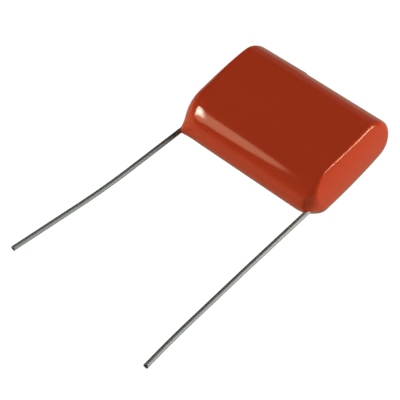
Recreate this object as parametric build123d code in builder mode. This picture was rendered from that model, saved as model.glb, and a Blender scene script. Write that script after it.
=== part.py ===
from build123d import *
import os

# Dipped metallised polyester film capacitor, lying on one of its two flat sides.
# +Z is up, +X runs from the left lead to the right one and both leads point
# towards -Y. The origin is the middle of the lower flat. Lengths are millimetres.

# Dipped body
body_width = 26.0      # along X, over the crowned ends
body_depth = 18.8      # along Y, over the two rounded sides
body_thick = 9.3       # along Z, between the flats
end_crown = 1.0        # how far the middle of an end stands proud of its edges
plan_width = 26.8      # the plan outline is a little larger than the body, so
plan_depth = 19.0      # that nothing but its rounded corners trims the body
lead_corner = 3.8      # radius of the two plan corners on the lead side
far_corner = 3.0       # radius of the other two plan corners
edge_round = 0.5       # small round that the coat leaves on its edges
coat_wall = 0.9        # coat over the flats and the rounded sides

# Wound element
wrap_wall = 0.2        # plain film wound on last, as insulation
slit_gap = 0.3         # what is left of the mandrel's hole after pressing
spray_thick = 0.5      # metal sprayed on each end of the winding
spray_bevel = 0.2      # worn outer rim of the sprayed metal

# Leads
lead_dia = 0.7
lead_pitch = 23.4      # between the two axes where they leave the coat
lead_height = 4.05     # axis above the lower flat
lead_bed = 0.1         # how deep the wire is pressed into the sprayed metal
lead_inner_y = 3.0     # inner end of a lead, on the sprayed metal
lead_turn_y = -7.8     # where it turns into its outer run, inside the coat

# The outer runs keep the slight bends of handled wire: (x, y) of each turn
# and of the cut tip, and the bend radius at each turn, the hidden one first.
left_run = [(-13.45, -25.0), (-16.05, -40.3)]
left_bends = [25, 110]
right_run = [(11.2, -23.0), (10.87, -37.2), (10.97, -41.9)]
right_bends = [60, 200, 40]

# Solder joint of each lead
joint_y = 0.6          # its middle
joint_length = 6.4
joint_width = 2.0
joint_height = 0.85
joint_slope = 30       # degrees that its sides lean in

# Collar of coat that climbs each lead at its exit
collar_root_radius = 1.1    # where it starts, at the turn inside the body
collar_skin = 1.1           # from there to about the body's skin
collar_skin_radius = 0.62
collar_length = 1.9         # from the turn to where it thins out on the wire
collar_end_radius = 0.43

mid_height = body_thick / 2
spray_face_x = (lead_pitch - lead_dia) / 2 + lead_bed
winding_half = spray_face_x - spray_thick
roll_depth = body_depth - 2 * coat_wall
roll_thick = body_thick - 2 * coat_wall
film_depth = roll_depth - 2 * wrap_wall
film_thick = roll_thick - 2 * wrap_wall


def section_plane(x):
    # Plane across the body, its own x axis along +Y and its y axis along +Z
    return Plane(origin=(x, 0, mid_height), x_dir=(0, 1, 0), z_dir=(1, 0, 0))


def oval(x, depth, thick):
    # Outline of a pressed roll: two flats joined by half rounds
    with BuildSketch(section_plane(x)) as outline:
        SlotOverall(depth, thick)
    return outline.sketch


# Metallised film, wound and pressed flat, with the closed-up slit at its core
with BuildPart() as film_winding:
    extrude(oval(0, film_depth, film_thick), amount=winding_half, both=True)
    slit = oval(0, film_depth - film_thick, slit_gap)
    extrude(slit, amount=winding_half, both=True, mode=Mode.SUBTRACT)

# Plain film round the outside of the winding
with BuildPart() as outer_wrap:
    extrude(oval(0, roll_depth, roll_thick), amount=winding_half, both=True)
    film = oval(0, film_depth, film_thick)
    extrude(film, amount=winding_half, both=True, mode=Mode.SUBTRACT)


def make_end_spray(side, lead):
    # Sprayed metal that joins the edges of all the turns at one end
    with BuildPart() as spray:
        extrude(oval(side * winding_half, roll_depth, roll_thick), amount=side * spray_thick)
        outer_face = spray.faces().sort_by(Axis((0, 0, 0), (side, 0, 0)))[-1]
        chamfer(outer_face.edges(), spray_bevel)
        add(lead, mode=Mode.SUBTRACT)
    return spray.part


def make_lead(side, run, bends):
    # Tinned wire: straight on the sprayed metal, then out of the coat
    inner_x = side * lead_pitch / 2
    route = [(inner_x, lead_inner_y), (inner_x, lead_turn_y)] + run
    with BuildPart() as lead:
        with BuildLine(Plane.XY.offset(lead_height)) as path:
            FilletPolyline(*route, radius=bends)
        with BuildSketch(Plane(origin=path.line @ 0, z_dir=path.line % 0)):
            Circle(lead_dia / 2)
        sweep()
    return lead.part


def make_joint(side, lead):
    # Long mound of solder over the wire, standing on the sprayed metal
    foot = (side * spray_face_x, joint_y, lead_height)
    with BuildPart() as joint:
        with BuildSketch(Plane(origin=foot, x_dir=(0, 1, 0), z_dir=(side, 0, 0))):
            SlotOverall(joint_length, joint_width)
        extrude(amount=joint_height, taper=joint_slope)
        add(lead, mode=Mode.SUBTRACT)
    return joint.part


def make_collar(run, side):
    # Meniscus of coat round a lead, concave like any liquid that climbs a wire
    turn = Vector(side * lead_pitch / 2, lead_turn_y)
    outward = (Vector(*run[0]) - turn).normalized()
    root = Plane(origin=(turn.X, turn.Y, lead_height), x_dir=(0, 0, 1), z_dir=(*outward,))
    with BuildPart() as collar:
        with BuildSketch(Plane(origin=root.origin, x_dir=root.x_dir, z_dir=root.y_dir * -1)):
            with BuildLine():
                wall = ThreePointArc(
                    (collar_root_radius, 0),
                    (collar_skin_radius, collar_skin),
                    (collar_end_radius, collar_length),
                )
                Polyline(wall @ 1, (0, collar_length), (0, 0), wall @ 0)
            make_face()
        revolve(axis=Axis(root.origin, outward))
    return collar.part


lead_left = make_lead(-1, left_run, left_bends)
lead_right = make_lead(1, right_run, right_bends)
end_spray_left = make_end_spray(-1, lead_left)
end_spray_right = make_end_spray(1, lead_right)
solder_joint_left = make_joint(-1, lead_left)
solder_joint_right = make_joint(1, lead_right)

# Epoxy coat. Its outer form is what three outlines share: the oval seen from an
# end, the rounded plan seen from above and the crowned ends seen from the side.
with BuildPart() as epoxy_coat:
    extrude(oval(0, body_depth, body_thick), amount=plan_width / 2, both=True)
    with BuildSketch() as plan:
        Rectangle(plan_width, plan_depth)
        fillet(plan.vertices().group_by(Axis.Y)[0], lead_corner)
        fillet(plan.vertices().group_by(Axis.Y)[-1], far_corner)
    extrude(amount=body_thick, mode=Mode.INTERSECT)
    with BuildSketch(Plane.XZ.offset(-body_depth / 2)):
        edge_x = body_width / 2 - end_crown
        with BuildLine():
            Line((-edge_x, body_thick), (edge_x, body_thick))
            ThreePointArc((edge_x, body_thick), (body_width / 2, mid_height), (edge_x, 0))
            Line((edge_x, 0), (-edge_x, 0))
            ThreePointArc((-edge_x, 0), (-body_width / 2, mid_height), (-edge_x, body_thick))
        make_face()
    extrude(amount=body_depth, mode=Mode.INTERSECT)
    rims = epoxy_coat.edges().filter_by(lambda edge: abs(edge.center().X) > winding_half - 1)
    fillet(rims, edge_round)
    add(make_collar(left_run, -1))
    add(make_collar(right_run, 1))
    # Room for what the coat was dipped over
    room = oval(0, roll_depth, roll_thick)
    extrude(room, amount=spray_face_x, both=True, mode=Mode.SUBTRACT)
    for inner in (solder_joint_left, solder_joint_right, lead_left, lead_right):
        add(inner, mode=Mode.SUBTRACT)

nodes = {
    "epoxy_coat": epoxy_coat.part,
    "film_winding": film_winding.part,
    "outer_wrap": outer_wrap.part,
    "end_spray_left": end_spray_left,
    "end_spray_right": end_spray_right,
    "solder_joint_left": solder_joint_left,
    "solder_joint_right": solder_joint_right,
    "lead_left": lead_left,
    "lead_right": lead_right,
}
os.makedirs("parts", exist_ok=True)
for name, solid in nodes.items():
    solid.label = name
    export_step(solid, f"parts/{name}.step")
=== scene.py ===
import bmesh
import bpy
import math
import numpy as np
from mathutils import Matrix, Vector


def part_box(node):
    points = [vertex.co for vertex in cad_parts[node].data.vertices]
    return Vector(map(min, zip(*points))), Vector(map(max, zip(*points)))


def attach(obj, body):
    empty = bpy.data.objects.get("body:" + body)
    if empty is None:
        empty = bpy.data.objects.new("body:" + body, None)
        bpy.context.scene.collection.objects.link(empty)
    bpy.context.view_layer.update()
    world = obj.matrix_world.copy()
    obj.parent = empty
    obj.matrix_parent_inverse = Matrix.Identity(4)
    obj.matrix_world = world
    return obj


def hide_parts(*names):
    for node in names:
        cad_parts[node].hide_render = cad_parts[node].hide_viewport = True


# Dipped film capacitor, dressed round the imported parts. Metres throughout: X runs
# from the left wire to the right one, both wires point towards -Y and +Z is up.

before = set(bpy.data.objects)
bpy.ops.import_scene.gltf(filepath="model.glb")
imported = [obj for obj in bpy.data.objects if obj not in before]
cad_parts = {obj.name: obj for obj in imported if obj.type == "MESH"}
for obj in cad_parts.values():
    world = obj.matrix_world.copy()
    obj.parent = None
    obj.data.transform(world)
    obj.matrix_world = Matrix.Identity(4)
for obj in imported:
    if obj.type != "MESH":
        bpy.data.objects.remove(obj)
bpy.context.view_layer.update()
mm = 0.001

bpy.context.scene.view_settings.view_transform = "Standard"
print("frame: holds", len(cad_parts), "solids")


class Signal:
    # one socket of a finish, so that its maths reads as plain arithmetic

    def __init__(self, finish, socket):
        self.finish = finish
        self.socket = socket

    def maths(self, operation, *values):
        return self.finish.node("ShaderNodeMath", {"operation": operation}, dict(enumerate(values)))

    def __add__(self, other):
        return self.maths("ADD", self, other)

    def __mul__(self, other):
        return self.maths("MULTIPLY", self, other)

    __radd__ = __add__
    __rmul__ = __mul__


class Finish:
    # the nodes of a material or of the world, in the making

    def __init__(self, holder):
        self.holder = holder
        self.holder.use_nodes = True
        self.tree = self.holder.node_tree
        self.tree.nodes.clear()

    def node(self, kind, settings, values, output=0):
        # settings first, then the value or the link of each named socket
        made = self.tree.nodes.new(kind)
        for key, value in settings.items():
            setattr(made, key, value)
        for key, value in values.items():
            if isinstance(value, Signal):
                self.tree.links.new(value.socket, made.inputs[key])
            else:
                made.inputs[key].default_value = value
        return Signal(self, made.outputs[output]) if made.outputs else None

    def outlet(self, signal, name):
        # another output of the node that a signal comes from
        return Signal(self, signal.socket.node.outputs[name])

    def place(self, scale=(1, 1, 1), slant=0.0):
        # where on the piece, in metres, stretched and turned about Z as a grain needs
        where = self.node("ShaderNodeTexCoord", {}, {}, output="Object")
        values = {"Vector": where, "Scale": scale, "Rotation": (0, 0, math.radians(slant))}
        return self.node("ShaderNodeMapping", {}, values)

    def grain(self, where, scale, detail=2.0):
        values = {"Vector": where, "Scale": scale, "Detail": detail}
        return self.node("ShaderNodeTexNoise", {}, values)

    def cells(self, where, scale):
        return self.node("ShaderNodeTexVoronoi", {}, {"Vector": where, "Scale": scale})

    def blend(self, factor, first, second):
        # sockets 6 and 7 are the colour pair of a Mix node, output 2 its colour
        values = {0: factor, 6: first, 7: second}
        return self.node("ShaderNodeMix", {"data_type": "RGBA"}, values, output=2)

    def either(self, factor, first, second):
        # sockets 2 and 3 are the number pair of a Mix node
        return self.node("ShaderNodeMix", {}, {0: factor, 2: first, 3: second})

    def layer(self, factor, first, second):
        return self.node("ShaderNodeMixShader", {}, {0: factor, 1: first, 2: second})

    def ramp(self, value, start, stop):
        # 0 up to start, 1 from stop on, and an even slope between
        values = {"Value": value, "From Min": start, "From Max": stop}
        return self.node("ShaderNodeMapRange", {"clamp": True}, values)

    def bump(self, height, distance):
        return self.node("ShaderNodeBump", {}, {"Height": height, "Distance": distance})

    def show(self, shader, kind="ShaderNodeOutputMaterial"):
        self.node(kind, {}, {"Surface": shader})
        return self.holder

    def close(self, values):
        return self.show(self.node("ShaderNodeBsdfPrincipled", {}, values))


def newFinish(name):
    return Finish(bpy.data.materials.new(name))


def between(share, low, high):
    # low where the share is 0 and high where it is 1
    return share * (high - low) + low


def easeInOut(t):
    return t * t * (3 - 2 * t)


def midHeight(node):
    low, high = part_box(node)
    return (low.z + high.z) / 2


def newObject(name, data):
    made = bpy.data.objects.new(name, data)
    bpy.context.scene.collection.objects.link(made)
    return made


def newPiece(name, points, faces, material, node):
    mesh = bpy.data.meshes.new(name)
    mesh.from_pydata([tuple(point) for point in points], [], faces)
    for polygon in mesh.polygons:
        polygon.use_smooth = True
    mesh.materials.append(material)
    piece = newObject(name, mesh)
    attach(piece, "root")
    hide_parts(node)
    return piece


def gridFaces(rows, columns, first=0):
    # quads between rings of points, each ring closed on itself
    faces = []
    for row in range(rows - 1):
        a = first + row * columns
        b = a + columns
        for column in range(columns):
            right = (column + 1) % columns
            faces.append((a + column, b + column, b + right, a + right))
    return faces


leadShape = {
    "radius": 0.38 * mm,
    # the turns of each wire in millimetres, from its inner end on the sprayed metal
    # to its cut tip, and the bend radius at each turn between
    "left": [(-11.70, 3.00), (-11.70, -1.80), (-12.01, -7.73), (-13.54, -24.76), (-16.38, -40.74)],
    "leftBends": [8, 20, 110],
    "right": [
        (11.70, 3.00), (11.70, -1.80), (11.81, -7.73),
        (11.25, -22.78), (10.85, -36.85), (10.92, -42.39),
    ],
    "rightBends": [8, 20, 200, 150],
    "leaving": 2,               # the turn after which each wire leaves the coat
    "cutRound": 0.06 * mm,      # the small round at each end
    "cutSteps": 3,
    "sides": 28,
    "spacing": 0.25 * mm,       # from one ring of points to the next
    "arcSteps": 4,              # the fewest steps that a bend is drawn in
    "colours": ((0.468, 0.4833, 0.459, 1), (0.52, 0.537, 0.51, 1)),
    "roughness": (0.63, 0.73),
    "patches": 900,             # to the metre across the wire, and longer along it
    "patchStretch": (1.0, 0.15, 1.0),
    "dieLines": 5000,           # the fine lines that the drawing die left
    "lineStretch": (1.0, 0.02, 1.0),
    "lineDepth": 0.0005 * mm,
}


def bentPath(turns, bends, spacing):
    # the wire's centre line: straight runs joined by arcs, in even steps
    corners = [Vector(turn) * mm for turn in turns]
    path = [corners[0]]
    for index, bend in enumerate(bends, start=1):
        before, corner, after = corners[index - 1 : index + 2]
        inward = (corner - before).normalized()
        outward = (after - corner).normalized()
        turn = inward.angle_signed(outward)
        radius = bend * mm
        start = corner - inward * radius * math.tan(abs(turn) / 2)
        spoke = -Vector((inward.y, -inward.x)) * math.copysign(radius, turn)
        steps = max(leadShape["arcSteps"], round(abs(turn) * radius / spacing))
        for step in range(steps + 1):
            swing = Matrix.Rotation(-turn * step / steps, 2)
            path.append(start - spoke + swing @ spoke)
    path.append(corners[-1])
    even = [path[0]]
    for here, there in zip(path, path[1:]):
        steps = max(1, round((there - here).length / spacing))
        even += [here.lerp(there, step / steps) for step in range(1, steps + 1)]
    return even


def endRound(ring, sign):
    # the small round at a wire's end, from its narrowest ring to one of full radius
    here, along, radius = ring
    cut, steps = leadShape["cutRound"], leadShape["cutSteps"]
    rings = []
    for step in range(steps + 1):
        swing = step / steps * math.pi / 2
        centre = here + along * sign * cut * (1 - math.cos(swing))
        rings.append((centre, along, radius - cut * (1 - math.sin(swing))))
    return rings


def wireRings(path):
    # the centre, direction and radius of every ring along the wire
    rings = []
    for index, here in enumerate(path):
        before, after = path[max(index - 1, 0)], path[min(index + 1, len(path) - 1)]
        rings.append((here, (after - before).normalized(), leadShape["radius"]))
    # the round of the cut tip stands some rings short of it, not at rings[-1], so the
    # tip is drawn as a thin-walled cup 0.75 mm deep rather than as a full cut face
    short = -1 - leadShape["cutSteps"]
    start, tip = endRound(rings[0], 1), endRound(rings[short], -1)
    rings[0], rings[short] = start.pop(), tip.pop()
    return start + rings + tip[::-1]


def leadPiece(name, node, side, material):
    height, sides = midHeight(node), leadShape["sides"]
    path = bentPath(leadShape[side], leadShape[side + "Bends"], leadShape["spacing"])
    rings = wireRings(path)
    points = []
    for centre, along, radius in rings:
        across = Vector((along.y, -along.x))
        for step in range(sides):
            angle = 2 * math.pi * step / sides
            flat = centre + across * radius * math.cos(angle)
            points.append((flat.x, flat.y, height + radius * math.sin(angle)))
    faces = gridFaces(len(rings), sides)
    faces.append(tuple(range(sides)))
    faces.append(tuple(reversed(range(len(points) - sides, len(points)))))
    piece = newPiece(name, points, faces, material, node)
    for polygon in piece.data.polygons[-2:]:        # both end faces are flat
        polygon.use_smooth = False
    print(name + ":", len(path), "stations,", len(points), "points")


def wireFinish(name, side):
    # tinned wire with the fine lines of the drawing die along it
    inner, outer = leadShape[side][leadShape["leaving"]], leadShape[side][-1]
    slant = math.degrees(math.atan2(outer[0] - inner[0], inner[1] - outer[1]))
    finish = newFinish(name)
    patches = finish.grain(finish.place(leadShape["patchStretch"], slant), leadShape["patches"])
    lines = finish.grain(finish.place(leadShape["lineStretch"], slant), leadShape["dieLines"])
    return finish.close({
        "Base Color": finish.blend(patches, *leadShape["colours"]),
        "Metallic": 1.0,
        "Roughness": between(patches, *leadShape["roughness"]),
        "Normal": finish.bump(lines, leadShape["lineDepth"]),
    })


leadPiece("leadLeft", "lead_left", "left", wireFinish("tinnedWireLeft", "left"))
leadPiece("leadRight", "lead_right", "right", wireFinish("tinnedWireRight", "right"))


coatShape = {
    "halfThick": 4.61 * mm,     # from the middle to either flat
    "sideLead": 9.68 * mm,      # the rounded side with the leads, from the middle
    "sideFar": 9.36 * mm,
    "noseLead": 5.35 * mm,      # how far that side reaches past the flats
    "noseFar": 4.64 * mm,
    "right": {
        "reach": 12.93 * mm,            # the end's furthest point, from the middle
        "crownUp": 1.19 * mm,           # its top and bottom edges stand this far back
        "crownAcross": 0.35 * mm,       # and its corners this far further
        "crownPower": 2.69,             # how evenly it falls away, 2 for a round arc
        "askew": 0.001,                 # slope of the end seen from above
        "lean": -0.038,                 # and seen from the leads
        "shoulder": 0.13 * mm,          # how far the upper shoulder has fallen at the end
        "shoulderLength": 6.9 * mm,     # and over what length it falls
        # edge radius at five places from the upper flat round each rounded side
        # to the lower flat
        "rimLead": [0.21 * mm, 1.0 * mm, 3.14 * mm, 2.87 * mm, 0.89 * mm],
        "rimFar": [0.74 * mm, 1.15 * mm, 1.45 * mm, 1.06 * mm, 0.25 * mm],
    },
    "left": {
        "reach": 13.16 * mm,
        "crownUp": 1.36 * mm,
        "crownAcross": 0.39 * mm,
        "crownPower": 2,
        "askew": -0.019,
        "lean": 0.104,
        "shoulder": 0.32 * mm,
        "shoulderLength": 5.1 * mm,
        "rimLead": [2.03 * mm, 2.91 * mm, 4.62 * mm, 3.56 * mm, 0.3 * mm],
        "rimFar": [0.14 * mm, 1.45 * mm, 1.75 * mm, 1.58 * mm, 0.3 * mm],
    },
    "leadHeight": 4.05 * mm,
    # the meniscus at each wire: its height, its radius on the coat, how sharply it
    # rises, and how far back it draws on the coat
    "collars": {
        "left": {"climb": 2.09 * mm, "spread": 3.59 * mm, "power": 2.2, "depth": 4.4 * mm},
        "right": {"climb": 1.29 * mm, "spread": 2.44 * mm, "power": 3.07, "depth": 2.9 * mm},
    },
    # a run of resin along the far upper edge, which swells slowly and stops in a step
    "run": {
        "start": -12.5 * mm,
        "stop": -3.1 * mm,
        "height": 0.11 * mm,
        "step": 0.35 * mm,      # length of the step
        "turn": 63,             # where it lies, in degrees round from the upper flat
        "spread": 55,           # and how many degrees to either side it fades over
        "inward": 4,            # how fast it fades towards the middle of an end
    },
    "flatSteps": 40,
    "noseSteps": 120,
    "rimSteps": 16,
    "faceSteps": 18,
    "lengthSteps": 80,
    "crowding": 0.7,            # how much closer the rings stand near the ends, 0 for even
    "touchStep": 0.001 * mm,    # for the slope where the rim meets the end
    "touchRounds": 8,
    "roomSides": 64,
    "roomGap": 0.02 * mm,       # between the winding and the wall of the room
    "weldGap": 0.001 * mm,
    "reds": ((0.780, 0.0728, 0.0218, 1), (0.820, 0.0765, 0.0230, 1)),
    "clouds": 90,               # slow changes of the red, to the metre
    "cloudDetail": 3.0,
    "waves": 600,               # the faint unevenness of the gloss, to the metre
    "waveDetail": 1.0,
    "waveDepth": 0.004 * mm,
    "roughness": 0.089,
    "refraction": 1.5,
    "glossTint": (1.0, 0.63, 0.37, 1),
}


def edgeRadius(turn, radii):
    # an even curve through radii at equal angles from the upper flat to the lower one
    last = len(radii) - 1
    spot = math.degrees(turn) / (180 / last)
    here = min(int(spot), last - 1)
    t = spot - here
    slopes = [0] + [(radii[k + 1] - radii[k - 1]) / 2 for k in range(1, last)] + [0]
    start = radii[here] * (2 * t**3 - 3 * t**2 + 1) + slopes[here] * (t**3 - 2 * t**2 + t)
    return start + radii[here + 1] * (3 * t**2 - 2 * t**3) + slopes[here + 1] * (t**3 - t**2)


def ovalProfile(shape, midZ):
    # points round the body seen from an end, with outward normals, the medial
    # point under each, and where it stands: side of the body and turn round it
    rows = []
    halfThick = shape["halfThick"]
    flats = {-1: shape["noseLead"] - shape["sideLead"], 1: shape["sideFar"] - shape["noseFar"]}
    for side, nose in ((-1, shape["noseLead"]), (1, shape["noseFar"])):
        flat = flats[side]
        for step in range(shape["noseSteps"] + 1):
            swing = math.pi * step / shape["noseSteps"]
            across, up = math.sin(swing), side * -math.cos(swing)
            normal = Vector((0, side * across / nose, up / halfThick)).normalized()
            place = (flat + side * nose * across, midZ + halfThick * up)
            turn = swing if side < 0 else math.pi - swing
            rows.append((*place, normal.y, normal.z, flat, side, turn))
        for step in range(1, shape["flatSteps"]):
            # on the flats the turn is 0 or 180 degrees and the side fades over
            share = step / shape["flatSteps"]
            y = flat + (flats[-side] - flat) * share
            fade = side * (1 - 2 * easeInOut(share))
            rows.append((y, midZ + side * halfThick, 0, side, y, fade, math.pi * (side < 0)))
    return np.array(rows)


def coatEnd(shape, end, profile, midZ):
    # rings of one end, from its middle out over the edge onto the sides
    y, z, normalY, normalZ, medial, side, turn = profile.T
    radius = np.array([
        edgeRadius(t, end["rimLead"]) * (1 - s) / 2 + edgeRadius(t, end["rimFar"]) * (1 + s) / 2
        for s, t in zip(side, turn)
    ])

    def reach(y, z):
        up = (z - midZ) / shape["halfThick"]
        across = y / shape["sideLead"]
        fall = end["crownUp"] * np.abs(up) ** end["crownPower"] + end["crownAcross"] * across * across
        return end["reach"] - fall + end["askew"] * y + end["lean"] * (z - midZ)

    def reachInside(inset):
        return reach(y - normalY * inset, z - normalZ * inset)

    # a ball of that radius rolls between the side wall and the crowned end
    touch, near = radius.copy(), shape["touchStep"]
    for _ in range(shape["touchRounds"]):
        slope = (reachInside(touch + near) - reachInside(touch - near)) / (2 * near)
        angle = np.arctan(slope)
        touch = radius * (1 - np.sin(angle))
    centre = reachInside(touch) - radius * np.cos(angle)
    rings = []
    startY, startZ = y - normalY * touch, z - normalZ * touch
    for step in range(shape["faceSteps"]):
        t = 1 - step / shape["faceSteps"]
        ringY, ringZ = startY + (medial - startY) * t, startZ + (midZ - startZ) * t
        rings.append((reach(ringY, ringZ), ringY, ringZ))
    for step in range(shape["rimSteps"] + 1):
        swing = (math.pi / 2 - angle) * (1 - step / shape["rimSteps"])
        inset = radius - radius * np.cos(swing)
        rings.append((centre + radius * np.sin(swing), y - normalY * inset, z - normalZ * inset))
    return [np.stack(ring, axis=1) for ring in rings]


def settled(points, shape, profile, midZ):
    # the resin as it set: the upper shoulder on the wires' side falls away gently
    # before each end, and a run of it stands proud along the far side
    y, z, normalY, normalZ, medial, side, turn = profile.T
    share = np.hypot(points[:, 1] - medial, points[:, 2] - midZ) / np.hypot(y - medial, z - midZ)
    shoulder = np.where((turn < math.pi / 2) & (side < 0), np.sin(2 * turn) ** 2, 0) * share
    x = points[:, 0]
    shift = np.zeros(len(points))
    for name, sign in (("right", 1), ("left", -1)):
        end = shape[name]
        t = np.clip((sign * x - end["reach"]) / end["shoulderLength"] + 1, 0, 1)
        shift -= end["shoulder"] * t**2 * shoulder
    run = shape["run"]
    away = (np.degrees(turn) - run["turn"]) / run["spread"]
    fade = np.cos(np.clip(away, -1, 1) * math.pi / 2) ** 2
    farSide = np.where(side > 0, fade, 0) * share ** run["inward"]
    rise = np.clip((x - run["start"]) / (run["stop"] - run["start"]), 0, 1)
    drop = easeInOut(np.clip((run["stop"] + run["step"] - x) / run["step"], 0, 1))
    shift += run["height"] * rise * drop * farSide
    return points + np.stack([shift * 0, shift * normalY, shift * normalZ], axis=1)


def drawnOut(points, collar, turns, height):
    # the resin climbs the wire: skin near it is drawn outwards along it
    leaving = leadShape["leaving"]
    start, outer = Vector(turns[leaving]) * mm, Vector(turns[leaving + 1]) * mm
    along = (outer - start).normalized()
    offset = points - (start.x, start.y, height)
    reach = offset[:, 0] * along.x + offset[:, 1] * along.y
    aside = offset[:, 0] * along.y - offset[:, 1] * along.x
    near = np.clip(1 - np.hypot(aside, offset[:, 2]) / collar["spread"], 0, 1)
    front = np.clip(1 + reach / collar["depth"], 0, 1)
    climb = collar["climb"] * near ** collar["power"] * easeInOut(front)
    return points + climb[:, None] * (along.x, along.y, 0)


def coatSkin(shape, midZ):
    # rings from the middle of the right end over the sides to that of the left end
    profile = ovalProfile(shape, midZ)
    right = coatEnd(shape, shape["right"], profile, midZ)
    left = [ring * (-1, 1, 1) for ring in coatEnd(shape, shape["left"], profile, midZ)]
    sides = []
    for step in range(1, shape["lengthSteps"]):
        # closer together near the ends, where the resin climbs the wires
        share = step / shape["lengthSteps"]
        share -= shape["crowding"] * math.sin(2 * math.pi * share) / (2 * math.pi)
        sides.append(right[-1] + (left[-1] - right[-1]) * share)
    rings = [settled(ring, shape, profile, midZ) for ring in right + sides + left[::-1]]
    for side, collar in shape["collars"].items():
        rings = [drawnOut(ring, collar, leadShape[side], shape["leadHeight"]) for ring in rings]
    return rings


def roomSkin(columns, gap):
    # the inner wall of the coat lies on the winding and its sprayed ends: two half
    # circles with a flat between them, and a flat end at either side
    low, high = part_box("outer_wrap")
    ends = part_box("end_spray_right")[1].x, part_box("end_spray_left")[0].x
    middle, half = (low + high) / 2, (high - low) / 2 + Vector((0, gap, gap))
    flat = half.y - half.z
    loop = []
    for step in range(columns):
        turn = 2 * math.pi * step / columns
        y = math.copysign(flat, math.sin(turn)) + half.z * math.sin(turn)
        loop.append((y + middle.y, middle.z + half.z * math.cos(turn)))
    rings = []
    for x, size in ((ends[0], 0), (ends[0], 1), (ends[1], 1), (ends[1], 0)):
        rings.append(np.array([
            (x, middle.y + (y - middle.y) * size, middle.z + (z - middle.z) * size) for y, z in loop
        ]))
    return rings


def weldPoints(piece, gap):
    # points closer than the gap become one, which closes both ends of each skin
    work = bmesh.new()
    work.from_mesh(piece.data)
    bmesh.ops.remove_doubles(work, verts=work.verts, dist=gap)
    work.to_mesh(piece.data)
    work.free()


def epoxyFinish():
    # fired epoxy: an even brick red with a wet gloss and a faint unevenness
    finish = newFinish("firedEpoxy")
    place = finish.place()
    cloud = finish.grain(place, coatShape["clouds"], coatShape["cloudDetail"])
    waves = finish.grain(place, coatShape["waves"], coatShape["waveDetail"])
    return finish.close({
        "Base Color": finish.blend(cloud, *coatShape["reds"]),
        "Roughness": coatShape["roughness"],
        "IOR": coatShape["refraction"],
        "Specular Tint": coatShape["glossTint"],
        "Normal": finish.bump(waves, coatShape["waveDepth"]),
    })


def coatPiece(material):
    rings = coatSkin(coatShape, midHeight("epoxy_coat"))
    room = roomSkin(coatShape["roomSides"], coatShape["roomGap"])
    columns = len(rings[0])
    points = np.concatenate(rings + room)
    faces = gridFaces(len(rings), columns)
    faces += gridFaces(len(room), len(room[0]), len(rings) * columns)
    piece = newPiece("epoxyCoat", points, faces, material, "epoxy_coat")
    weldPoints(piece, coatShape["weldGap"])
    print("epoxyCoat:", len(piece.data.vertices), "points, outer skin and the room inside")


coatPiece(epoxyFinish())


# the pieces inside keep their solids and get finishes of their own, each with its
# grain to the metre, how that is stretched, and what lies at either end of it
innerLooks = {
    # metallised film seen edge on, as fine bright and dark turns
    "metallisedFilm": {
        "solids": ["film_winding"],
        "grain": 1 / (0.06 * mm),
        "detail": 2.0,
        "stretch": (0.05, 1.0, 1.0),
        "colours": ((0.30, 0.31, 0.33, 1), (0.72, 0.73, 0.75, 1)),
        "metallic": 0.85,
        "roughness": (0.2, 0.45),
        "depth": 0.01 * mm,
    },
    # plain polyester wound on last: milky, with faint creases along the winding
    "plainFilm": {
        "solids": ["outer_wrap"],
        "grain": 1400,
        "detail": 2.0,
        "stretch": (0.08, 1.0, 1.0),
        "colours": ((0.70, 0.68, 0.60, 1), (0.80, 0.79, 0.74, 1)),
        "metallic": 0.0,
        "roughness": (0.18, 0.38),
        "depth": 0.02 * mm,
    },
    # zinc sprayed on molten: a matt crust of small splashes, in patches
    "sprayedZinc": {
        "solids": ["end_spray_left", "end_spray_right"],
        "splashes": 1 / (0.18 * mm),
        "grain": 500,
        "detail": 2.0,
        "stretch": (1.0, 1.0, 1.0),
        "colours": ((0.34, 0.34, 0.35, 1), (0.50, 0.50, 0.51, 1)),
        "metallic": 0.8,
        "roughness": (0.6, 0.8),
        "depth": 0.05 * mm,
    },
    # solder that set in soft ripples, duller where it grazes the zinc
    "solder": {
        "solids": ["solder_joint_left", "solder_joint_right"],
        "grain": 1 / (0.9 * mm),
        "detail": 1.0,
        "stretch": (1.0, 1.0, 1.0),
        "colours": ((0.52, 0.52, 0.53, 1), (0.70, 0.70, 0.71, 1)),
        "metallic": 1.0,
        "roughness": (0.22, 0.47),
        "depth": 0.03 * mm,
    },
}


def innerFinish(name, look):
    finish = newFinish(name)
    place = finish.place(look["stretch"])
    grain = finish.grain(place, look["grain"], look["detail"])
    relief = finish.cells(place, look["splashes"]) if "splashes" in look else grain
    return finish.close({
        "Base Color": finish.blend(grain, *look["colours"]),
        "Metallic": look["metallic"],
        "Roughness": between(relief, *look["roughness"]),
        "Normal": finish.bump(relief, look["depth"]),
    })


def dress(names, material):
    for name in names:
        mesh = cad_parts[name].data
        if not mesh.materials:
            mesh.materials.append(None)
        for index in range(len(mesh.materials)):
            mesh.materials[index] = material
        print("dressed", name)


for name, look in innerLooks.items():
    dress(look["solids"], innerFinish(name, look))


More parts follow.
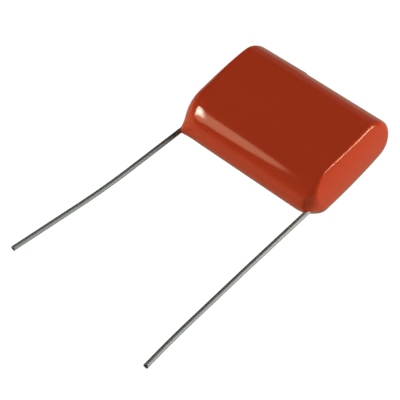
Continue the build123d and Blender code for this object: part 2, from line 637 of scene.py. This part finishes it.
studio = {
    "floorSize": 2.4,
    "floorWhite": 1.05,         # how bright the floor looks
    "floorGlow": 0.195,         # light that it gives off towards the part
    "floorGreys": ((0.19, 0.19, 0.19, 1), (0.21, 0.21, 0.21, 1)),
    "floorRoughness": 0.8,
    "floorClouds": 3.0,         # paler patches to the metre
    # how it looks in the part's gloss, tint and strength, as painted reflections: close to the part a
    # dimmer one, a painted shadow, and beyond it a brighter one, and between which distances from the
    # part that painted shadow ends
    "floorSheen": {
        "close": ((0.95, 1.2, 0.85, 1), 0.215),
        "beside": ((0.95, 1.2, 0.98, 1), 0.41),
    },
    "paintedShadowEnds": (1.0 * mm, 17.5 * mm),
    "roomLight": 0.02,          # light from all round
    "roomGloss": 0.002,         # how bright the room looks in the part's gloss
    "backdrop": 0.95,           # and to the camera
    # lamps that only the coat's gloss shows, with their colour, and lamps that give
    # light but show in no gloss
    "glossOnly": ["spot", "spotCore"],
    "spotColour": (0.5, 0.75, 1.0),
    "matteOnly": ["lowLeft", "midLeft"],
    # each lamp: direction from the part (degrees from +X towards +Y, and up), its
    # distance in millimetres, its two radii in degrees as seen from the part, its
    # twist and the light that it lays on a face turned to it
    "lights": {
        "windowRight": (32.2, 16.8, 700, 13.5, 13.9, 0, 2.09),
        "windowBack": (48.0, 46.0, 700, 11.0, 11.0, 0, 0.015),
        "fillSouth": (-45.0, 15.0, 700, 14.0, 14.0, 0, 0.008),
        "lowLeft": (-140.0, 10.0, 700, 12.0, 12.0, 0, 0.631),
        "midLeft": (-140.4, 19.1, 700, 9.0, 9.0, 0, 0.309),
        "fillBack": (110.0, 12.0, 700, 14.0, 14.0, 0, 0.04),
        "streak": (-126.1, 34.6, 179, 9.1, 14.7, 0, 0.454),
        "spot": (-137.3, 34.6, 700, 5.6, 14.5, 14, 2.7),
        "spotCore": (-131.5, 37.0, 700, 3.0, 7.0, 30, 0.5),
    },
}


def gapFromPart(finish):
    # how far a place on the floor lies outside the coat's box
    low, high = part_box("epoxy_coat")
    middle, half = (low + high) / 2, (high - low) / 2
    where = finish.place()
    for operation, values in (
        ("SUBTRACT", {1: (middle.x, middle.y, 0)}),
        ("ABSOLUTE", {}),
        ("SUBTRACT", {1: (half.x, half.y, 0)}),
        ("MAXIMUM", {1: (0, 0, 0)}),
    ):
        where = finish.node("ShaderNodeVectorMath", {"operation": operation}, {0: where, **values})
    return finish.node("ShaderNodeVectorMath", {"operation": "LENGTH"}, {0: where}, output="Value")


def floorFinish():
    # the floor shows white and throws less light back at the part
    finish = newFinish("paleFloor")
    cloud = finish.grain(finish.place(), studio["floorClouds"])
    plain = finish.node("ShaderNodeBsdfPrincipled", {}, {
        "Base Color": finish.blend(cloud, *studio["floorGreys"]),
        "Roughness": studio["floorRoughness"],
        "Emission Color": (1, 1, 1, 1),
        "Emission Strength": studio["floorGlow"],
    })
    sheens = {
        name: finish.node("ShaderNodeEmission", {}, {"Color": tint, "Strength": strength})
        for name, (tint, strength) in studio["floorSheen"].items()
    }
    # painted shadow: the floor's emission seen in the part's gloss is dimmer close to the part
    beyond = finish.ramp(gapFromPart(finish), *studio["paintedShadowEnds"])
    paintedReflection = finish.layer(beyond, sheens["close"], sheens["beside"])
    white = finish.node("ShaderNodeEmission", {}, {"Strength": studio["floorWhite"]})
    rays = finish.node("ShaderNodeLightPath", {}, {})
    thrown = finish.layer(finish.outlet(rays, "Is Glossy Ray"), plain, paintedReflection)
    return finish.show(finish.layer(finish.outlet(rays, "Is Camera Ray"), thrown, white))


def floorPiece(material):
    half = studio["floorSize"] / 2
    mesh = bpy.data.meshes.new("floor")
    corners = [(-half, -half, 0), (half, -half, 0), (half, half, 0), (-half, half, 0)]
    mesh.from_pydata(corners, [], [(0, 1, 2, 3)])
    mesh.materials.append(material)
    floor = newObject("floor", mesh)


def roomWorld():
    # the backdrop shows white, and the part is lit by the lamps rather than by it
    finish = Finish(bpy.data.worlds.new("room"))
    rays = finish.node("ShaderNodeLightPath", {}, {})
    gloss, seen = finish.outlet(rays, "Is Glossy Ray"), finish.outlet(rays, "Is Camera Ray")
    thrown = finish.either(gloss, studio["roomLight"], studio["roomGloss"])
    shown = finish.either(seen, thrown, studio["backdrop"])
    backdrop = finish.node("ShaderNodeBackground", {}, {"Color": (1, 1, 1, 1), "Strength": shown})
    bpy.context.scene.world = finish.show(backdrop, "ShaderNodeOutputWorld")


def softLight(name, azimuth, elevation, distance, wide, tall, twist, strength):
    lamp = bpy.data.lights.new(name, "AREA")
    lamp.shape = "ELLIPSE"
    distance = distance * mm
    lamp.size = 2 * distance * math.tan(math.radians(wide))
    lamp.size_y = 2 * distance * math.tan(math.radians(tall))
    # watts that make a lamp of this size give that much light at that distance
    lamp.energy = strength * math.pi * (distance**2 + lamp.size * lamp.size_y / 4)
    holder = newObject(name, lamp)
    a, e = math.radians(azimuth), math.radians(elevation)
    back = Vector((math.cos(a) * math.cos(e), math.sin(a) * math.cos(e), math.sin(e)))
    holder.location = back * distance
    facing = back.to_track_quat("Z", "Y").to_matrix() @ Matrix.Rotation(math.radians(twist), 3, "Z")
    holder.rotation_euler = facing.to_euler()
    holder.visible_camera = False
    holder.visible_glossy = name not in studio["matteOnly"]
    if name in studio["glossOnly"]:
        lamp.color = studio["spotColour"]
        holder.visible_diffuse = False
        seenBy = bpy.data.collections.new(name)
        seenBy.objects.link(bpy.data.objects["epoxyCoat"])
        holder.light_linking.receiver_collection = seenBy


floorPiece(floorFinish())
roomWorld()
for name, settings in studio["lights"].items():
    softLight(name, *settings)
print("studio:", len(studio["lights"]), "lamps over a pale floor")


cameraPlace = {
    "azimuth": 45.68,           # degrees round from -Y towards +X
    "elevation": 54.66,
    "roll": -5.01,
    "distance": 201.2 * mm,     # to the middle of the coat, along the view
    "right": 12.65 * mm,        # how far right of the view's centre that middle stands
    "up": 10.58 * mm,           # and how far above it
    "lens": 121.9,
    "nearest": 1 * mm,          # what is closer isn't drawn
}


def addCamera():
    middle = Vector((0, 0, midHeight("epoxy_coat")))
    a, e, r = (math.radians(cameraPlace[key]) for key in ("azimuth", "elevation", "roll"))
    back = Vector((math.sin(a) * math.cos(e), -math.cos(a) * math.cos(e), math.sin(e)))
    level = Vector((math.cos(a), math.sin(a), 0))
    right = level * math.cos(r) + back.cross(level) * math.sin(r)
    up = back.cross(right)
    aside = right * cameraPlace["right"] + up * cameraPlace["up"]
    place = middle + back * cameraPlace["distance"] - aside
    data = bpy.data.cameras.new("camera")
    data.lens = cameraPlace["lens"]
    data.clip_start = cameraPlace["nearest"]
    camera = newObject("camera", data)
    camera.matrix_world = Matrix((
        (right.x, up.x, back.x, place.x),
        (right.y, up.y, back.y, place.y),
        (right.z, up.z, back.z, place.z),
        (0, 0, 0, 1),
    ))
    bpy.context.scene.camera = camera
    print("camera:", round(cameraPlace["distance"] / mm), "mm from the coat")


addCamera()
